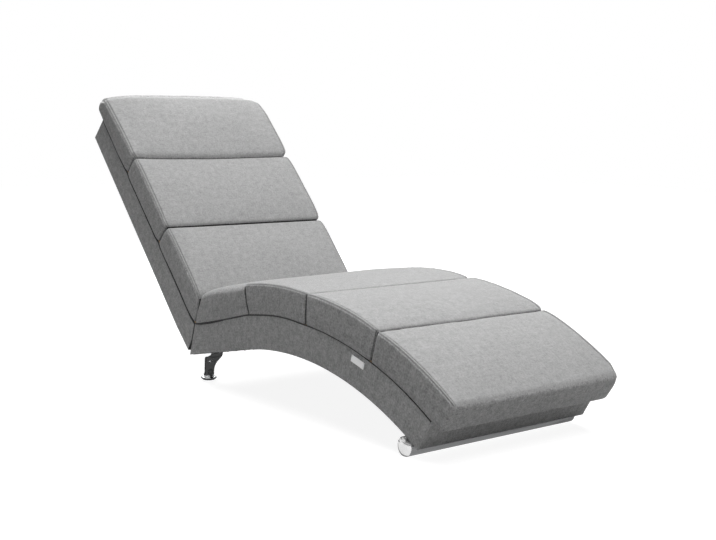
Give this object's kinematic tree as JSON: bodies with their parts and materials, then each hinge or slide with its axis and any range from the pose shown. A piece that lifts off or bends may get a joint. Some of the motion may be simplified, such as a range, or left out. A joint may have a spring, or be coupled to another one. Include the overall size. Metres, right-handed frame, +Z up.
{
  "type": "chaise longue",
  "caption": "Upholstered indoor chaise longue with a straight reclined back, an arched seat, curved rear legs with disc feet and a full-width round front foot.",
  "frame": {"origin": "on the floor, in the middle of the overall length and width", "axes": "+X along the length towards the foot end, +Y across the width, +Z up"},
  "size_m": [1.6816, 0.562, 0.8151],
  "materials": {
    "cushion_cloth": "matte",
    "box_cloth": "matte",
    "dust_cloth": "matte",
    "foam": "matte",
    "label": "satin",
    "wood": "matte",
    "steel": "satin",
    "chrome": "polished",
    "cap": "polished"
  },
  "bodies": {
    "chaise": {"seat_side_left": "wood", "seat_side_right": "wood", "seat_rear_rail": "wood", "seat_front_rail": "wood", "seat_rail_1": "wood", "seat_rail_2": "wood", "seat_rail_3": "wood", "seat_leg_board": "wood", "seat_foot_board": "wood", "seat_deck": "wood", "seat_box_cover": "box_cloth", "seat_dust_cover": "dust_cloth", "side_label": "label", "seat_cushion_1": "cushion_cloth", "seat_foam_1": "foam", "seat_cushion_2": "cushion_cloth", "seat_foam_2": "foam", "seat_cushion_3": "cushion_cloth", "seat_foam_3": "foam", "back_side_left": "wood", "back_side_right": "wood", "back_bottom_rail": "wood", "back_top_rail": "wood", "back_rail_1": "wood", "back_rail_2": "wood", "back_deck": "wood", "back_box_cover": "box_cloth", "back_cushion_1": "cushion_cloth", "back_foam_1": "foam", "back_cushion_2": "cushion_cloth", "back_foam_2": "foam", "back_cushion_3": "cushion_cloth", "back_foam_3": "foam", "fold_bolt_right": "steel", "fold_nut_right": "steel", "fold_bolt_middle": "steel", "fold_nut_middle": "steel", "fold_bolt_left": "steel", "fold_nut_left": "steel", "rear_leg_right": "chrome", "rear_leg_washer_right": "steel", "rear_leg_bolt_right": "steel", "rear_leg_left": "chrome", "rear_leg_washer_left": "steel", "rear_leg_bolt_left": "steel", "front_tube": "chrome", "front_cap_right": "cap", "front_saddle_right": "chrome", "front_bolt_right": "steel", "front_nut_right": "steel", "front_cap_left": "cap", "front_saddle_left": "chrome", "front_bolt_left": "steel", "front_nut_left": "steel"},
    "right_glide": {"rear_glide_right": "chrome"},
    "left_glide": {"rear_glide_left": "chrome"}
  },
  "joints": [
    {"name": "right_glide_screw", "type": "slide", "parent": "chaise", "child": "right_glide", "axis": [0, 0, -1], "range_m": [0, 0.01]},
    {"name": "left_glide_screw", "type": "slide", "parent": "chaise", "child": "left_glide", "axis": [0, 0, -1], "range_m": [0, 0.01]}
  ]
}
